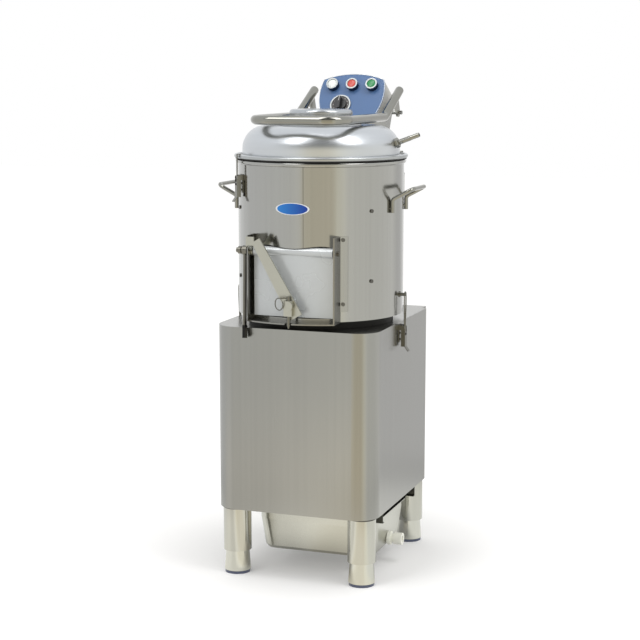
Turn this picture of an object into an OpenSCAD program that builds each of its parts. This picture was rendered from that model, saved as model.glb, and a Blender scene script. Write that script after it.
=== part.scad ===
// Floor-standing electric potato peeler: a peeling drum on a stainless cabinet with four legs.
// Millimetres, +Z up, the front faces -Y. The origin is on the floor, under the middle of the machine.

/* [Cabinet] */
// How far each side of the cabinet stands out past the drum
side_margin = 1; // [0:0.5:4]
// How far the cabinet's front face stands out past the drum
front_margin = 6; // [4:0.5:9]
// Depth of the deck behind the drum
rear_margin = 32; // [30:1:40]
// Height of the cabinet's lower edge above the floor
cabinet_bottom = 167; // [150:1:190]
// Height of the deck that carries the drum
deck_z = 611; // [590:1:640]
// Radius of the two front corners of the cabinet
corner_r = 54; // [30:1:70]
// Thickness of the panel sheet
sheet = 1.5; // [1:0.1:2]
// Thickness of the deck and of the cabinet floor
plate_t = 3; // [2:0.5:5]
// Depth of the cover behind the side panels
rear_cover_d = 39; // [36:1:50]

/* [Legs] */
// Radius of the upper leg tube
leg_r = 34; // [28:0.5:36]
// Wall of the upper leg tube
leg_wall = 2; // [1.5:0.5:3]
// Height above the floor of the leg tube's lower end
leg_tube_bottom = 57; // [50:1:70]
// Distance of the legs inside the cabinet's sides
leg_side = 42; // [40:1:50]
// Distance of the front legs behind the cabinet's front face
leg_front = 47; // [44:1:52]
// Distance of the rear legs behind the side panels
leg_rear = 5; // [2:1:8]
// Radius of the foot at the floor
foot_r = 32; // [28:0.5:34]
// Height of the plastic pad under each foot
pad_h = 7; // [4:1:10]
// Radius of the foot's stem inside the leg
stem_r = 26; // [20:0.5:28]
// How far a foot can be screwed out
foot_travel = 25; // [10:1:30]

/* [Drum] */
// Outer radius of the drum
drum_r = 200; // [185:1:225]
// Height of the dark ring between the deck and the drum
base_ring_h = 19; // [12:1:26]
// Height of the drum wall
drum_h = 370; // [350:1:400]
// Thickness of the drum wall
drum_wall = 1.5; // [1:0.1:2]
// Thickness of the abrasive lining
liner_t = 5; // [4:0.5:6]
// Radius of the rolled bead at the drum's top
bead_r = 5.7; // [4:0.1:7]
// Gap between the abrasive disc and the lining
disc_gap = 7.2; // [5:0.1:20]
// Height of the abrasive disc above the drum floor
disc_lift = 20; // [14:1:26]
// Thickness of the abrasive disc
disc_t = 10; // [8:1:14]

/* [Discharge door] */
// Width of the door
door_w = 196; // [170:1:200]
// Height of the door's lower edge above the drum's lower edge
door_sill = 11; // [9:1:16]
// Height of the door hinge above the drum's lower edge
door_hinge_h = 162; // [150:1:175]
// How far the door hinge lies inside the drum's outer wall
door_hinge_inset = 12; // [10:0.5:14]
// Radius of the door's hinge bead
door_bead_r = 12; // [10:0.5:12.5]
// Radius of the door's shaft
door_shaft_r = 6; // [5:0.5:7]
// Radius of the door's curved front face
door_face_r = 700; // [500:10:900]
// Thickness of the cast door
door_t = 6; // [4:0.5:8]
// Gap round the door
door_gap = 1.5; // [1:0.1:2]
// How far the door frame stands out from the drum
frame_depth = 38; // [32:1:44]
// Thickness of the door frame's plates
frame_t = 3; // [2:0.5:4]
// Width of the lever across the door at its upper end
lever_w = 22; // [18:1:26]

/* [Lid] */
// How far the lid's rolled rim stands out from the drum
lid_overhang = 9; // [7:0.5:11]
// Radius of the lid rim's roll
lid_roll_r = 4.7; // [4:0.1:5.5]
// Height of the lid above its rim
lid_h = 72; // [64:1:90]
// Radius of the lid's rounded shoulder
shoulder_r = 56; // [45:1:60]
// Radius of the feed opening in the lid
mouth_r = 95; // [85:1:98]
// Height of the collar round the feed opening
mouth_collar = 8; // [5:1:10]
// Radius of the hatch's raised middle
hatch_boss_r = 76; // [65:1:80]
// Height of the hatch's raised middle
hatch_boss_h = 28; // [18:1:32]

/* [Hatch bar] */
// Radius of the bar's tube
bar_r = 11; // [9:0.5:11.5]
// Half the distance between the bar's arms
bar_x = 114; // [113:0.5:120]
// Distance of the cross bar inside the drum's front
bar_front_inset = 18; // [5:1:30]
// Distance of the arms' upward bend inside the drum's back
bar_bend_inset = 55; // [49:1:61]
// Radius of the bar's front corners
bar_corner_r = 52; // [40:1:60]
// Angle of the arms' raised ends
bar_rise = 27; // [24:1:31]
// Length of the arms' raised ends
bar_end_l = 128; // [120:1:136]
// Radius of the hatch's hinge pins
hinge_pin_r = 5; // [4:0.5:6]

/* [Controls] */
// Half width of the control panel
panel_w2 = 86; // [82:0.5:88]
// Height of the control panel along its face
panel_h = 119; // [112:1:125]
// Backward tilt of the control panel
panel_tilt = 29.2; // [24:0.1:34]
// Depth of the control box
box_d = 88; // [75:1:95]
// Distance between the lamp, the stop button and the start button
button_pitch = 52; // [46:1:56]
// Radius of each button's bezel
bezel_r = 15; // [13:0.5:16]
// Radius of each button
button_r = 11; // [9:0.5:12]
// Travel of each button
button_travel = 3; // [2:0.5:4]
// Radius of the timer's dial ring
timer_r = 27; // [22:0.5:28]
// Radius of the timer's knob
knob_r = 16; // [13:0.5:18]

/* [Drive] */
// Radius of the drive shaft
shaft_r = 12.5; // [10:0.5:15]
// Distance between the drain pipe and the middle of the belt on the large pulley
pulley_gap = 18; // [15:1:28]
// Radius of the motor's pulley
motor_pulley_r = 24; // [23:1:30]
// Distance between the shaft and the motor
belt_centres = 154; // [150:1:158]
// Radius of the motor
motor_r = 72; // [65:1:72]
// Clearance between the motor and the deck
motor_clear = 22; // [18:1:40]
// Height of the belt above the cabinet's lower edge
belt_h = 170; // [160:1:185]

/* [Drain pan] */
// Length of the pan's rim, left to right
pan_l = 325; // [300:1:330]
// Width of the pan's rim, front to back
pan_w = 265; // [240:1:270]
// Depth of the pan
pan_h = 100; // [90:1:104]
// Height of the pan's floor above the ground
pan_z = 40; // [36:1:50]
// Thickness of the pan's wall
pan_t = 1.2; // [1:0.1:2]
// Distance that the pan slides out
pan_travel = 280; // [200:5:300]

/* [Handles and latches] */
// Radius of the handle rod
handle_rod_r = 5; // [4:0.5:6]
// Half the length of each side handle
handle_y = 55; // [40:1:60]
// How far each handle stands out from the drum
handle_out = 48; // [35:1:55]
// Half width of a latch's base
latch_w = 9.5; // [9:0.5:11]

/* [Hidden] */
$fn = 64;
steel = [0.78, 0.77, 0.74];
bright = [0.86, 0.86, 0.85];
dark = [0.16, 0.15, 0.14];
blue = [0.22, 0.33, 0.58];
grey = [0.62, 0.63, 0.62];
eps = 0.01;
// Clearance between curved faces that stay apart
gap = 0.3;
// Radial clearance of a running fit
running = 0.05;
// Clearance under a piece that is fixed to a round wall
seat = 0.05;
// The drum's axis lies a little in front of the origin
drum_y = -45;
cabinet_w = 2 * (drum_r + side_margin);
cabinet_front = drum_y - drum_r - front_margin;
cabinet_rear = drum_y + drum_r + rear_margin;
cover_rear = cabinet_rear + rear_cover_d;
cover_x = cabinet_w / 2 - 12;
leg_x = cabinet_w / 2 - leg_side;
leg_row = [cabinet_front + leg_front, cabinet_rear + leg_rear];
// A length that reaches past every piece
far = 2 * drum_r;
drum_z = deck_z + base_ring_h;
drum_inner_r = drum_r - drum_wall;
disc_r = drum_inner_r - gap - liner_t - disc_gap;
bead_z = drum_z + drum_h - bead_r;
gasket_z = drum_z + drum_h;
gasket_t = 2;
lid_z = gasket_z + gasket_t;
lid_top = lid_z + lid_roll_r + lid_h;
floor_z = drum_z + drum_wall;
disc_z = floor_z + plate_t + disc_lift;
base_ring_r = drum_r - 24;
base_ring_w = 16;
drain_r = 20;
drain_reach = base_ring_r - base_ring_w - drain_r - 7;
drain_angle = 47.4;
drain_x = -drain_reach * sin(drain_angle);
drain_y = drum_y + drain_reach * cos(drain_angle);
drain_hole_r = drain_r + gap;
housing_r = 40;
belt_z = cabinet_bottom + belt_h;
motor_y = drum_y + belt_centres;
motor_z = belt_z + 31;
motor_l = deck_z - plate_t - motor_z - motor_clear;
mount_t = 8;
pulley_r = drain_reach - drain_r - pulley_gap;
door_half = door_w / 2;
door_y = drum_y - drum_r + door_hinge_inset;
door_z = drum_z + door_hinge_h;
door_bottom = drum_z + door_sill;
door_face_y = drum_y - drum_r + 2;
door_cut_r = door_bead_r + 2 * door_gap;
frame_x = door_half + 7;
frame_inner_r = drum_r + 0.2;
frame_reach = drum_r + frame_depth;
strip_w = 15;
strip_angle = asin((frame_x + frame_t + 5.5) / (drum_r + 2));
// The door lever runs from its upper end to its lower end across the door
lever_t = 5;
lever_y = door_face_y - 30;
lever_top = [-80, door_z + 28];
lever_foot = [20, door_bottom + 4];
lever_w_low = lever_w + 9;
// The spring pin that holds the door stands in front of the lever
lock_x = 3;
lock_y = lever_y - 5;
lock_r = 4.5;
lock_tip_z = drum_z - 11;
lock_cone = 9;
lock_guide_z = door_bottom + 7;
lock_guide_h = 36;
ring_r = 14;
ring_wire = 1.2;
notch_w = 16;
lid_side_r = drum_r - 10.5;
lid_rim_r = drum_r + lid_overhang;
shoulder_x = lid_side_r - shoulder_r;
collar_top = lid_top + mouth_collar;
cover_z = collar_top + gap;
cover_t = 2;
bar_z = cover_z + bar_r - 3;
bar_wall = 1.5;
bar_bend_r = 40;
bar_y = drum_y - drum_r + bar_front_inset;
bar_bend_back = drum_r - bar_bend_inset;
bar_bend_y = drum_y + bar_bend_back - bar_bend_r * tan(bar_rise / 2);
hatch_y = drum_y + bar_bend_back + 118;
hatch_z = bar_z + 8;
ear_t = 5;
ear_x = bar_x - 4;
// The panel's own frame: X right, Y up its face, Z out of it
panel_y = drum_y + drum_r + 5;
panel_z = lid_top + 27;
panel_t = 2;
panel_low = -12;
panel_top_r = 209;
panel_side_r = 130;
panel_wide_at = 52;
button_row = 73;
button_h = 12.5;
button_l = 26;
block_top = -button_l - button_travel - 1;
bezel_h = 14.5;
timer_at = [-24, 18.5];
knob_h = 18;
column_w = 70;
column_d = 30;
column_y = drum_y + drum_r + 17;
cheek_x = panel_w2 + 2;
cheek_t = 3;
pan_x = 18.5;
pan_y = cabinet_front + 237;
pan_rim_z = pan_z + pan_h;
pan_rim_w = 10;
rail_t = 1.5;
rail_lip = 9;
spigot_z = pan_z + 22;
spigot_r = 11;
handle_rise = 28;
handle_bend_r = 10;
handle_corner_r = 14;
handle_z = drum_z + 248;
handle_leg_h = 35;
screw_angle = 55.5;
screw_rows = [drum_z + 92, drum_z + 256];
screw_r = 2;
screw_head_r = 4.5;
badge_w = 83;
badge_h = 28;
badge_z = drum_z + 263;
// A latch: the lever's pin, the hook's pin below it, and the sizes of both
latch_pin_x = 9;
latch_pin_r = 2;
hook_pin_r = 1.5;
hook_pin_x = latch_pin_x + 3.3;
hook_drop = 12;
lever_l = 46;
lid_latch_angle = -50;
lid_latch_z = lid_z - 44;
base_latch_z = deck_z - 13;
catch_z = drum_z + 48;
catch_r = 4;

// ---- shared shapes ----

// A round bar between two points
module bar(p, q, r) {
    d = q - p;
    l = norm(d);
    translate(p) rotate([0, acos(d[2] / l), atan2(d[1], d[0])]) cylinder(r = r, h = l);
}

// A cylinder along +X
module cyl_x(r, l) {
    rotate([0, 90, 0]) cylinder(r = r, h = l);
}

// A flat ring
module ring(r, w, h) {
    difference() {
        cylinder(r = r, h = h);
        translate([0, 0, -1]) cylinder(r = r - w, h = h + 2);
    }
}

// The section of a round tube
module tube_section(r, wall) {
    difference() {
        circle(r);
        circle(r - wall);
    }
}

// A rectangle with round corners, centred
module rounded(l, w, r) {
    square([l - 2 * r, w], center = true);
    square([l, w - 2 * r], center = true);
    for (sx = [-1, 1], sy = [-1, 1]) translate([sx * (l / 2 - r), sy * (w / 2 - r)]) circle(r);
}

// The cabinet's plan with its two round front corners
module cabinet_plan(inset = 0) {
    half = cabinet_w / 2 - inset;
    r = corner_r - inset;
    front = cabinet_front + inset;
    translate([-half, front + r]) square([2 * half, cabinet_rear - front - r]);
    translate([r - half, front]) square([2 * (half - r), r + 1]);
    for (s = [-1, 1]) translate([s * (half - r), front + r]) circle(r);
}

// A plate that fills the cabinet's plan and reaches back to the rear cover
module cabinet_plate() {
    linear_extrude(plate_t) {
        difference() {
            cabinet_plan(sheet + gap);
            translate([-cabinet_w, cabinet_rear - sheet - gap]) square([2 * cabinet_w, 10]);
        }
        translate([-cover_x, cabinet_rear - 5]) square([2 * cover_x, rear_cover_d + 5]);
    }
}

module at_drum(z = 0) {
    translate([0, drum_y, z]) children();
}

module on_drum(angle, z, r = drum_r) {
    translate([0, drum_y, z]) rotate(angle - 90) translate([r, 0, 0]) children();
}

module at_legs() {
    for (sx = [-1, 1], y = leg_row) translate([sx * leg_x, y, 0]) children();
}

// What the door takes out of the drum wall and the lining
module door_opening() {
    half = door_half + door_gap;
    low = door_bottom - door_gap - 1;
    translate([-half, drum_y - drum_r - 20, low]) cube([2 * half, drum_r / 2, door_z - low]);
    translate([-half, door_y, door_z]) cyl_x(door_cut_r, 2 * half);
}

module screw(head_h = 2.5, shank = 5) {
    cylinder(r = screw_head_r, h = head_h);
    translate([0, 0, -shank]) cylinder(r = screw_r, h = shank + eps);
}

// The places of the screws that hold the lining
module at_liner_screws() {
    for (a = [screw_angle, -screw_angle, 180 - screw_angle, screw_angle - 180], z = screw_rows)
        on_drum(a, z, drum_r + 0.1) rotate([0, 90, 0]) children();
}

module at_panel() {
    translate([0, panel_y, panel_z]) rotate([90 - panel_tilt, 0, 0]) children();
}

// ---- cabinet ----

module cabinet_shell() {
    color(steel) translate([0, 0, cabinet_bottom]) linear_extrude(deck_z - cabinet_bottom) {
        difference() {
            cabinet_plan();
            cabinet_plan(sheet);
            translate([sheet - cabinet_w / 2, cabinet_rear - 2]) square([cabinet_w - 2 * sheet, 3]);
        }
        for (s = [-1, 1]) translate([s * (cabinet_w / 2 - 5.5), cabinet_rear - sheet / 2])
            square([11, sheet], center = true);
    }
}

module cabinet_top() {
    color(steel) difference() {
        translate([0, 0, deck_z - plate_t]) cabinet_plate();
        at_drum(deck_z - plate_t - 1) cylinder(r = housing_r + gap, h = plate_t + 2);
        translate([drain_x, drain_y, deck_z - plate_t - 1]) cylinder(r = drain_hole_r, h = plate_t + 2);
    }
}

module cabinet_floor() {
    stud_hole = 8.2;
    color(steel) difference() {
        union() {
            translate([0, 0, cabinet_bottom]) cabinet_plate();
            at_legs() translate([0, 0, cabinet_bottom + plate_t]) cylinder(r = 18, h = 12);
        }
        at_legs() translate([0, 0, cabinet_bottom - 1]) cylinder(r = stud_hole, h = 20);
        translate([drain_x, drain_y, cabinet_bottom - 1]) cylinder(r = drain_hole_r, h = plate_t + 2);
    }
}

gland_r = 10;
gland_x = 120;
gland_z = cabinet_bottom + 70;

module cabinet_back() {
    low = cabinet_bottom + plate_t;
    h = deck_z - plate_t - low;
    slot_l = 110;
    slot_h = 5;
    slots = 9;
    color(steel) difference() {
        union() {
            translate([-cover_x, cover_rear - sheet, low]) cube([2 * cover_x, sheet, h]);
            for (s = [-1, 1]) translate([s * (cover_x - sheet / 2) - sheet / 2, cabinet_rear, low])
                cube([sheet, rear_cover_d, h]);
            for (s = [-1, 1]) translate([s * (cover_x + 5) - 5 - s, cabinet_rear, low]) cube([10, sheet, h]);
        }
        for (s = [-1, 1], i = [0:slots - 1])
            translate([s * 90 - slot_l / 2, cover_rear - 5, deck_z - 200 + i * 16]) cube([slot_l, 10, slot_h]);
        translate([gland_x, cover_rear - 5, gland_z]) rotate([-90, 0, 0]) cylinder(r = gland_r + gap, h = 10);
    }
}

module cable_gland() {
    bore_r = 5;
    color(dark) translate([gland_x, cover_rear, gland_z]) rotate([-90, 0, 0]) difference() {
        union() {
            translate([0, 0, -14]) cylinder(r = gland_r, h = 28);
            translate([0, 0, 0]) cylinder(r = gland_r + 4, h = 6, $fn = 6);
            translate([0, 0, -sheet - 6]) cylinder(r = gland_r + 4, h = 6, $fn = 6);
            translate([0, 0, 14]) cylinder(r = gland_r - 1.5, h = 8);
        }
        translate([0, 0, -20]) cylinder(r = bore_r, h = 50);
    }
}

module leg_tubes() {
    tube_h = cabinet_bottom - leg_tube_bottom;
    inner = leg_r - leg_wall;
    color(steel) at_legs() translate([0, 0, leg_tube_bottom]) {
        ring(leg_r, leg_wall, tube_h);
        ring(inner + eps, inner + eps - stem_r - running, 20);
        translate([0, 0, tube_h - 4]) cylinder(r = inner + eps, h = 4);
        translate([0, 0, tube_h - eps]) cylinder(r = 8, h = 18);
    }
}

module foot(sx, row) {
    top = leg_tube_bottom - 0.2;
    translate([sx * leg_x, leg_row[row], 0]) {
        color([0.2, 0.22, 0.3]) cylinder(r = foot_r - 1, h = pad_h + eps);
        color(steel) rotate_extrude() polygon([[0, pad_h], [foot_r, pad_h], [foot_r - 0.6, pad_h + 10],
            [foot_r - 3.5, top], [stem_r, top], [stem_r, top + 2 * foot_travel + 8], [0, top + 2 * foot_travel + 8]]);
    }
}

module foot_front_left() { foot(-1, 0); }
module foot_front_right() { foot(1, 0); }
module foot_rear_left() { foot(-1, 1); }
module foot_rear_right() { foot(1, 1); }

// ---- drain pan ----

module pan_rails() {
    edge = pan_w / 2 + 1;
    rail_l = cabinet_w - 14;
    foot_w = 8;
    low = pan_rim_z - pan_t - gap - rail_t;
    color(dark) for (s = [-1, 1]) translate([-rail_l / 2, pan_y, 0]) {
        translate([0, s * (edge + rail_t / 2) - rail_t / 2, low]) cube([rail_l, rail_t, cabinet_bottom - low]);
        translate([0, s * (edge - rail_lip / 2) - rail_lip / 2, low]) cube([rail_l, rail_lip, rail_t]);
        translate([0, s * (edge + foot_w / 2) - foot_w / 2, cabinet_bottom - rail_t])
            cube([rail_l, foot_w, rail_t]);
    }
}

// The pan's inside or outside: a straight band at the top and a tapered body below it
module pan_body(inset, low) {
    shoulder = pan_rim_z - 22;
    l = pan_l - 2 * pan_rim_w - 2 * inset;
    w = pan_w - 2 * pan_rim_w - 2 * inset;
    translate([pan_x, pan_y, shoulder]) linear_extrude(23) rounded(l, w, 32 - inset);
    hull() {
        translate([pan_x, pan_y, shoulder - 1]) linear_extrude(1 + eps) rounded(l, w, 32 - inset, $fn = 32);
        translate([pan_x, pan_y, low + 8]) linear_extrude(1) rounded(l - 17, w - 17, 32 - inset, $fn = 32);
        translate([pan_x, pan_y, low]) linear_extrude(1) rounded(l - 31, w - 31, 25 - inset, $fn = 32);
    }
}

module drain_pan() {
    color(steel) difference() {
        union() {
            intersection() {
                pan_body(0, pan_z);
                translate([-far, -far, 0]) cube([2 * far, 2 * far, pan_rim_z]);
            }
            translate([pan_x, pan_y, pan_rim_z - pan_t]) linear_extrude(pan_t) rounded(pan_l, pan_w, 40);
        }
        pan_body(pan_t, pan_z + pan_t);
        translate([pan_x + pan_l / 2 - 45, pan_y, spigot_z]) cyl_x(spigot_r + running, 60);
    }
}

module pan_spigot() {
    bore_r = 8;
    wall_x = pan_x + pan_l / 2 - 18;
    nut = 17;
    color([0.93, 0.93, 0.86]) translate([wall_x, pan_y, spigot_z]) difference() {
        union() {
            translate([-12.5, 0, 0]) cyl_x(nut, 7);
            translate([-12.5, 0, 0]) cyl_x(spigot_r, 40);
            translate([3.4, 0, 0]) cyl_x(nut, 8);
            translate([20, 0, 0]) cyl_x(15, 20);
        }
        translate([-20, 0, 0]) cyl_x(bore_r, 70);
    }
}

module drain_pipe() {
    low = pan_rim_z + 5;
    color(steel) translate([drain_x, drain_y, low]) ring(drain_r, 2, floor_z + plate_t - low);
}

// ---- drum ----

module drum_base_ring() {
    color(dark) at_drum(deck_z) ring(base_ring_r, base_ring_w, base_ring_h);
}

module drum_shell() {
    color(steel) difference() {
        at_drum() union() {
            translate([0, 0, drum_z]) ring(drum_r, drum_wall, drum_h);
            translate([0, 0, drum_z]) ring(drum_r - 0.5, drum_r - 0.5 - base_ring_r + base_ring_w, drum_wall);
            rotate_extrude() difference() {
                translate([drum_r - 0.5, bead_z]) circle(bead_r);
                translate([drum_r - 20, bead_z - 20]) square([20 - drum_wall, 40]);
            }
        }
        door_opening();
        at_liner_screws() translate([0, 0, -20]) cylinder(r = screw_r + 0.2, h = 30);
    }
}

module drum_floor() {
    color(steel) difference() {
        at_drum(floor_z) cylinder(r = drum_inner_r - gap, h = plate_t);
        at_drum(floor_z - 1) cylinder(r = housing_r + gap, h = plate_t + 2);
        translate([drain_x, drain_y, floor_z - 1]) cylinder(r = drain_hole_r, h = plate_t + 2);
    }
}

module abrasive_liner() {
    low = floor_z + plate_t;
    color([0.35, 0.34, 0.32]) difference() {
        at_drum(low) ring(drum_inner_r - gap, liner_t, bead_z - bead_r - low);
        door_opening();
        at_liner_screws() translate([0, 0, -20]) cylinder(r = screw_r + 0.2, h = 30);
    }
}

module abrasive_disc() {
    wave_r = 15;
    hub_r = 34;
    color([0.4, 0.39, 0.37]) at_drum() difference() {
        union() {
            translate([0, 0, disc_z]) cylinder(r = disc_r, h = disc_t);
            translate([0, 0, disc_z - 8]) cylinder(r = hub_r - 4, h = 9);
            translate([0, 0, disc_z + disc_t - 1]) cylinder(r = hub_r, h = 9);
            for (a = [0:120:240]) intersection() {
                rotate(a + 20) translate([20, 0, disc_z + disc_t - 6]) cyl_x(wave_r, disc_r - 32);
                translate([0, 0, disc_z + 1]) cylinder(r = disc_r - 10, h = 40);
            }
        }
        translate([0, 0, disc_z - 20]) cylinder(r = shaft_r, h = disc_t + 26);
    }
}

module drive_shaft() {
    color(bright) at_drum(belt_z - 16) cylinder(r = shaft_r, h = disc_z + disc_t + 6 - belt_z + 16);
}

bearing_r = 26;
bearing_h = 15;
housing_low = belt_z + 33;
housing_top = floor_z + plate_t + 4;

module bearing_housing() {
    color(grey) at_drum() difference() {
        union() {
            translate([0, 0, housing_low]) cylinder(r = housing_r, h = housing_top - housing_low);
            translate([0, 0, deck_z - plate_t - 12]) cylinder(r = housing_r + 24, h = 12);
        }
        translate([0, 0, housing_low - 1]) cylinder(r = shaft_r + 5, h = housing_top - housing_low + 2);
        for (z = [housing_low - 1, housing_top - bearing_h])
            translate([0, 0, z]) cylinder(r = bearing_r, h = bearing_h + 1);
    }
}

module shaft_bearings() {
    color(bright) at_drum() for (z = [housing_low, housing_top - bearing_h])
        translate([0, 0, z]) ring(bearing_r, bearing_r - shaft_r - running, bearing_h);
}

// ---- drive ----

belt_t = 8;
belt_w = 10;

// The belt's outline, moved out by a distance, round both pulleys
module belt_outline(out) {
    t = asin((pulley_r - motor_pulley_r) / belt_centres);
    r1 = pulley_r + out;
    r2 = motor_pulley_r + out;
    in = 0.02;
    translate([0, drum_y]) circle(r1);
    translate([0, motor_y]) circle(r2);
    polygon([[(r1 - in) * cos(t), drum_y + (r1 - in) * sin(t)], [(r2 - in) * cos(t), motor_y + (r2 - in) * sin(t)],
        [-(r2 - in) * cos(t), motor_y + (r2 - in) * sin(t)], [-(r1 - in) * cos(t), drum_y + (r1 - in) * sin(t)]]);
}

// A pulley whose groove holds the belt with a small clearance
module pulley(r, hub_r, bore_r, hub_up) {
    rim = 8;
    inner = r - belt_t / 2 - gap;
    outer = r + belt_t / 2 + 1;
    side = belt_w / 2 + gap;
    rotate_extrude() difference() {
        union() {
            translate([max(inner - 12, bore_r), -rim]) square([outer - max(inner - 12, bore_r), 2 * rim]);
            translate([bore_r, -4]) square([inner - bore_r, 8]);
            translate([bore_r, -rim]) square([hub_r - bore_r, 2 * rim + hub_up]);
        }
        polygon([[inner, -side], [outer + 1, -side - 0.3], [outer + 1, side + 0.3], [inner, side]]);
    }
}

module driven_pulley() {
    color(grey) at_drum(belt_z) pulley(pulley_r, 28, shaft_r, 14);
}

module motor_pulley() {
    color(grey) translate([0, motor_y, belt_z]) pulley(motor_pulley_r, 18, rotor_shaft_r, 6);
}

module drive_belt() {
    color(dark) translate([0, 0, belt_z - belt_w / 2]) linear_extrude(belt_w) difference() {
        belt_outline(belt_t / 2);
        belt_outline(-belt_t / 2);
    }
}

rotor_shaft_r = 9.5;
motor_wall = 8;

module motor_body() {
    boss_r = 32;
    color([0.36, 0.4, 0.44]) translate([0, motor_y, motor_z]) difference() {
        union() {
            cylinder(r = motor_r, h = motor_l);
            translate([0, 0, -mount_t]) cylinder(r = boss_r, h = mount_t + eps);
            translate([motor_r - 6, -28, 90]) cube([34, 56, 70]);
        }
        translate([0, 0, 12]) cylinder(r = motor_r - motor_wall - 12, h = motor_l - 24);
        translate([0, 0, -mount_t - 1]) cylinder(r = rotor_shaft_r + running, h = motor_l);
    }
}

module motor_rotor() {
    color(bright) translate([0, motor_y, 0]) {
        translate([0, 0, belt_z - 12]) cylinder(r = rotor_shaft_r, h = motor_z + motor_l - 10 - belt_z + 12);
        translate([0, 0, motor_z + 35]) cylinder(r = motor_r - motor_wall - 14, h = motor_l - 80);
    }
}

module motor_mount() {
    half = motor_r + 8;
    cheek_d = 92;
    color(steel) difference() {
        translate([-half, motor_y - 34, motor_z - mount_t]) {
            cube([2 * half, cheek_d, mount_t]);
            for (x = [0, 2 * half - 4]) translate([x, 0, 0]) cube([4, cheek_d, deck_z - plate_t - motor_z + mount_t]);
        }
        translate([0, motor_y, motor_z - mount_t - 1]) cylinder(r = 32 + gap, h = mount_t + 2);
        translate([motor_r, motor_y - 29, motor_z + 89]) cube([40, 58, 72]);
    }
}

// ---- drum fittings ----

module panel_screws() {
    color(bright) {
        at_liner_screws() screw(2.5, 7);
        for (s = [-1, 1], z = [drum_z + 42, drum_z + 192])
            on_drum(s * strip_angle, z, drum_r + 2 + seat) cyl_x(screw_head_r, 2);
        for (s = [-1, 1], z = [cabinet_bottom + 50, (cabinet_bottom + deck_z) / 2, deck_z - 50])
            translate([s * (cover_x + 5), cabinet_rear + sheet, z]) rotate([-90, 0, 0])
                cylinder(r = screw_head_r, h = 2.5);
    }
}

// The rods' bends leave a hair's breadth at an odd angle, which a ball closes
joint_gap = 0.1;
joint_r = 0.06;

module handle_half() {
    arm_l = handle_out - handle_corner_r;
    turn = 90 - handle_rise;
    open = joint_gap / handle_bend_r * 57;
    bend_z = handle_leg_h - handle_bend_r;
    translate([0, -handle_y, 0]) {
        cylinder(r = handle_rod_r, h = bend_z);
        translate([handle_bend_r, 0, bend_z]) rotate([90, 0, 0]) rotate(180) mirror([0, 1, 0])
            rotate_extrude(angle = turn - open) translate([handle_bend_r, 0]) circle(handle_rod_r);
        translate([handle_bend_r * (1 - cos(turn)), 0, bend_z + handle_bend_r * sin(turn)])
            rotate([0, -handle_rise, 0]) {
                sphere(r = handle_rod_r + joint_r);
                translate([joint_gap, 0, 0]) cyl_x(handle_rod_r, arm_l - joint_gap);
                translate([arm_l, handle_corner_r, 0]) rotate(-90) rotate_extrude(angle = 90)
                    translate([handle_corner_r, 0]) circle(handle_rod_r);
                translate([arm_l + handle_corner_r, handle_corner_r, 0]) rotate([-90, 0, 0])
                    cylinder(r = handle_rod_r, h = handle_y - handle_corner_r);
            }
    }
}

module side_handles() {
    foot_x = sqrt(drum_r * drum_r - handle_y * handle_y) + handle_rod_r + 0.6;
    color(bright) for (m = [0, 1]) mirror([m, 0, 0]) translate([foot_x, drum_y, handle_z]) {
        handle_half();
        mirror([0, 1, 0]) handle_half();
    }
    // The weld pads under the rods
    color(bright) for (s = [-1, 1], t = [-1, 1])
        on_drum(s * 90 + t * atan(handle_y / foot_x), handle_z + 10, drum_r + seat) cyl_x(3.5, 4);
}

module badge_plate() {
    steps = 48;
    color(blue) intersection() {
        at_drum(badge_z - 30) ring(drum_r + 1 + seat, 1, 60);
        translate([0, drum_y, badge_z]) rotate([90, 0, 0]) linear_extrude(drum_r + 10)
            polygon([for (i = [0:steps - 1]) [badge_w / 2 * cos(360 * i / steps), badge_h / 2 * sin(360 * i / steps)]]);
    }
}

module drum_catches() {
    color(bright) for (a = [-90, 90]) on_drum(a, catch_z, drum_r + seat) {
        cyl_x(catch_r, side_margin + hook_pin_x + 3);
        cyl_x(catch_r + 3, 2);
    }
}

// ---- latches; their own frame has +X away from the wall and +Z towards the catch ----

module at_lid_latch(side) {
    on_drum(lid_latch_angle + side * 180, lid_latch_z) children();
}

module at_base_latch(side) {
    translate([side * cabinet_w / 2, drum_y, base_latch_z]) rotate(side > 0 ? 0 : 180) children();
}

module latch_base() {
    ear = 1.5;
    translate([seat, -latch_w, -36]) cube([1.5, 2 * latch_w, 44]);
    for (s = [-1, 1]) translate([seat, s * (latch_w - ear / 2) - ear / 2, 0]) {
        translate([0, 0, -6]) cube([latch_pin_x - seat, ear, 12]);
        translate([latch_pin_x - seat, ear, 0]) rotate([90, 0, 0]) cylinder(r = 6, h = ear);
    }
    translate([latch_pin_x, -latch_w, 0]) rotate([-90, 0, 0]) cylinder(r = latch_pin_r, h = 2 * latch_w);
    for (z = [-14, -29]) translate([seat + 1.5, 0, z]) cyl_x(2.6, 1.4);
}

module latch_bases() {
    color(bright) {
        for (side = [0, 1]) at_lid_latch(side) latch_base();
        for (side = [-1, 1]) at_base_latch(side) latch_base();
    }
}

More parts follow.
